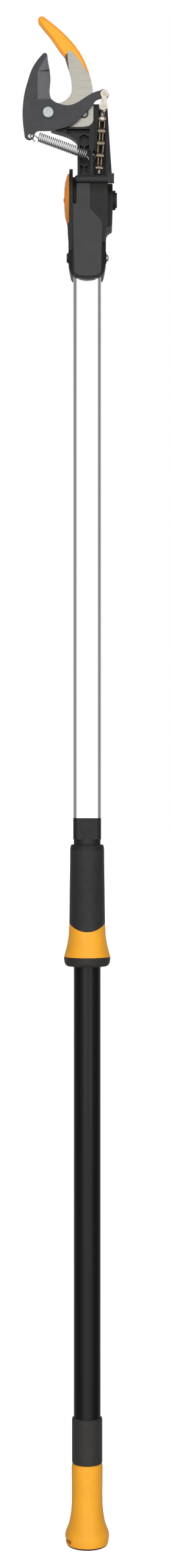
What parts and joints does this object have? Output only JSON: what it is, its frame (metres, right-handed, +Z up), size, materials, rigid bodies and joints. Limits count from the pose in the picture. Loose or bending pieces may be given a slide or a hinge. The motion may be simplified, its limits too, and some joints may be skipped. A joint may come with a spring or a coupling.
{
  "type": "pole tree pruner",
  "caption": "Pole pruner: hooked counter blade and pivoting bypass blade on a tilting head, pulled by a chain from a sliding grip and an end knob",
  "frame": {"origin": "centre of the flat bottom of the end pad, on the pole axis", "axes": "+Z up the pole, +X toward the chain side, -X toward the blade, -Y toward the front face"},
  "size_m": [0.0971, 0.0628, 1.5789],
  "materials": {
    "tube_black": "satin black painted tube",
    "tube_aluminium": "clear anodised, drawn along its length",
    "black_plastic": "fine moulded texture",
    "grey_plastic": "fine moulded texture",
    "white_plastic": "natural nylon",
    "orange_plastic": "semi-gloss moulding",
    "coated_steel": "low friction coating with a ground edge",
    "bare_steel": "brushed",
    "zinc_steel": "bright zinc plate",
    "black_steel": "black oxide",
    "nickel_steel": "nickel plate",
    "spring_wire": "drawn spring wire",
    "grip_rubber": "matt soft grip",
    "cord": "braided cord"
  },
  "bodies": {
    "pole": {"lower_tube": "tube_black", "upper_tube": "tube_aluminium", "joint_collar": "black_plastic", "end_collar": "black_plastic", "housing_left": "black_plastic", "housing_right": "black_plastic", "front_plate": "grey_plastic", "guard_bar": "grey_plastic", "socket_bolt": "zinc_steel", "socket_nut": "black_steel", "pivot_cap": "black_plastic", "friction_disc": "black_plastic", "anchor_block": "white_plastic", "anchor_pin": "zinc_steel", "tackle_falls": "cord", "lift_cord": "cord"},
    "clamp": {"clamp_knob": "orange_plastic", "clamp_screw": "zinc_steel"},
    "head": {"head_frame": "black_plastic", "hook_plate": "bare_steel", "hook_tip": "orange_plastic", "pivot_bolt": "zinc_steel", "pivot_nut": "zinc_steel", "plate_bolt": "zinc_steel", "plate_washer": "black_steel", "plate_nut": "zinc_steel", "roller_pins": "zinc_steel", "clamp_nut": "zinc_steel", "lead_cord": "cord"},
    "blade": {"blade": "coated_steel", "eye_pin": "nickel_steel"},
    "top_link": {"top_link_plates": "nickel_steel"},
    "chain": {"link_pin": "nickel_steel", "twisted_link": "nickel_steel", "chain_outer_plates": "nickel_steel", "chain_inner_plates": "nickel_steel", "chain_pins": "nickel_steel", "chain_rollers": "nickel_steel", "chain_anchor": "nickel_steel"},
    "spring_root": {"spring_base_hook": "spring_wire", "spring_coil": "spring_wire"},
    "spring_end": {"spring_tail_hook": "spring_wire"},
    "front_roller": {"guide_roller_front": "white_plastic"},
    "rear_roller": {"guide_roller_rear": "white_plastic"},
    "block": {"pulley_block": "zinc_steel", "pulley_pin": "zinc_steel"},
    "left_wheel": {"sheave_left": "white_plastic"},
    "right_wheel": {"sheave_right": "white_plastic"},
    "anchor_wheel": {"anchor_sheave": "white_plastic"},
    "grip": {"grip_core": "orange_plastic", "grip_sleeve": "grip_rubber", "grip_ring": "black_plastic", "grip_bush": "black_plastic", "shuttle": "white_plastic", "shuttle_key": "white_plastic"},
    "knob": {"pull_knob": "orange_plastic", "knob_pad": "grip_rubber", "haul_cord": "cord"}
  },
  "joints": [
    {"name": "grip_slide", "type": "slide", "parent": "pole", "child": "grip", "axis": [0, 0, -1], "range_m": [0, 0.1983], "stiffness_N_per_m": 30, "springref_m": -0.15, "deforming": ["tackle_falls", "lift_cord"]},
    {"name": "blade_close", "type": "hinge", "parent": "head", "child": "blade", "pos_m": [-0.0401, -0.004, 1.4782], "axis": [0, 1, 0], "range_deg": [0, 48.1]},
    {"name": "top_link_swing", "type": "hinge", "parent": "blade", "child": "top_link", "pos_m": [0.0179, -0.004, 1.4973], "axis": [0, 1, 0], "range_deg": [-56.6, 0], "deforming": ["top_link_plates"]},
    {"name": "chain_slide", "type": "slide", "parent": "head", "child": "chain", "axis": [-0.0628, 0, -0.998], "range_m": [0, 0.0496], "deforming": ["lead_cord"]},
    {"name": "spring_swing", "type": "hinge", "parent": "head", "child": "spring_root", "pos_m": [0.0046, -0.0116, 1.4313], "axis": [0, 1, 0], "range_deg": [0, 11]},
    {"name": "spring_stretch", "type": "slide", "parent": "spring_root", "child": "spring_end", "axis": [-0.9389, 0, 0.3443], "range_m": [0, 0.0199], "deforming": ["spring_coil", "spring_tail_hook"]},
    {"name": "front_roller_turn", "type": "hinge", "parent": "head", "child": "front_roller", "pos_m": [0, -0.0127, 1.389], "axis": [1, 0, 0], "range_deg": [-712, 0]},
    {"name": "rear_roller_turn", "type": "hinge", "parent": "head", "child": "rear_roller", "pos_m": [0, 0.0047, 1.3975], "axis": [1, 0, 0], "range_deg": [0, 712]},
    {"name": "block_slide", "type": "slide", "parent": "pole", "child": "block", "axis": [0, 0, -1], "range_m": [0, 0.0496]},
    {"name": "left_sheave_turn", "type": "hinge", "parent": "block", "child": "left_wheel", "pos_m": [0, 0, 1.27], "axis": [1, 0, 0], "range_deg": [0, 356]},
    {"name": "right_sheave_turn", "type": "hinge", "parent": "block", "child": "right_wheel", "pos_m": [0, 0, 1.27], "axis": [1, 0, 0], "range_deg": [0, 1066]},
    {"name": "anchor_sheave_turn", "type": "hinge", "parent": "pole", "child": "anchor_wheel", "pos_m": [0, 0, 1.19], "axis": [1, 0, 0], "range_deg": [0, 711]},
    {"name": "head_tilt", "type": "hinge", "parent": "pole", "child": "head", "pos_m": [0, 0, 1.389], "axis": [1, 0, 0], "range_deg": [-90, 25]},
    {"name": "clamp_turn", "type": "hinge", "parent": "pole", "child": "clamp", "pos_m": [0, 0, 1.389], "axis": [1, 0, 0], "range_deg": [0, 180]},
    {"name": "knob_pull", "type": "slide", "parent": "pole", "child": "knob", "axis": [0, 0, -1], "range_m": [0, 0.2], "stiffness_N_per_m": 20, "springref_m": -0.12, "deforming": ["haul_cord"]}
  ],
  "couplings": [
    {"joint": "blade_close", "follows": "grip_slide", "rad_per_m": 4.2247},
    {"joint": "top_link_swing", "follows": "grip_slide", "rad_per_m": -4.9741},
    {"joint": "chain_slide", "follows": "grip_slide", "ratio": 0.25},
    {"joint": "spring_swing", "follows": "grip_slide", "rad_per_m": 0.94278},
    {"joint": "spring_stretch", "follows": "grip_slide", "ratio": 0.099991},
    {"joint": "front_roller_turn", "follows": "grip_slide", "rad_per_m": -62.5},
    {"joint": "rear_roller_turn", "follows": "grip_slide", "rad_per_m": 62.5},
    {"joint": "block_slide", "follows": "grip_slide", "ratio": 0.25},
    {"joint": "left_sheave_turn", "follows": "grip_slide", "rad_per_m": 31.25},
    {"joint": "right_sheave_turn", "follows": "grip_slide", "rad_per_m": 93.75},
    {"joint": "anchor_sheave_turn", "follows": "grip_slide", "rad_per_m": 62.5}
  ]
}
